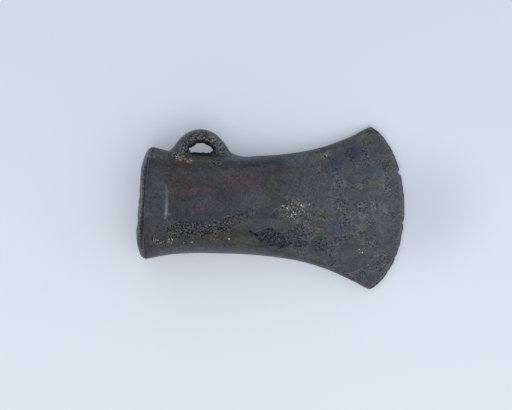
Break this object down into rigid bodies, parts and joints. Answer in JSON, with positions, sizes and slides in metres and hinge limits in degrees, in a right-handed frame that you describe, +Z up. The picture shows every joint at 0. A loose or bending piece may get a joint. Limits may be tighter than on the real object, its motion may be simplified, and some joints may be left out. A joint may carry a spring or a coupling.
{
  "type": "socketed axe head",
  "caption": "Cast bronze axe head with a tapering haft socket, a side loop for a lashing, and a splayed blade with a curved edge.",
  "frame": {"origin": "middle of the bounding box at its base, on the surface the axe lies on", "axes": "+X from the socket's mouth to the cutting edge, +Y to the side with the loop, +Z up, away from the surface the axe lies on"},
  "size_m": [0.0962, 0.058, 0.031],
  "materials": {
    "collar_bronze": "buried bronze, dark grey-brown patina with a satin sheen and pale crust round the lip",
    "body_bronze": "buried bronze, dark brown-grey patina, satin, pitted and spalled in places",
    "loop_bronze": "buried bronze, dark grey patina, rough, with tan crust at its feet",
    "blade_bronze": "hammered bronze, dark blue-grey patina, satin",
    "edge_bronze": "ground bronze edge, dark blue-grey patina, satin, chipped"
  },
  "bodies": {
    "root": {"mouth_collar": "collar_bronze", "socket_body": "body_bronze", "side_loop": "loop_bronze", "blade": "blade_bronze", "cutting_edge": "edge_bronze"}
  },
  "joints": []
}
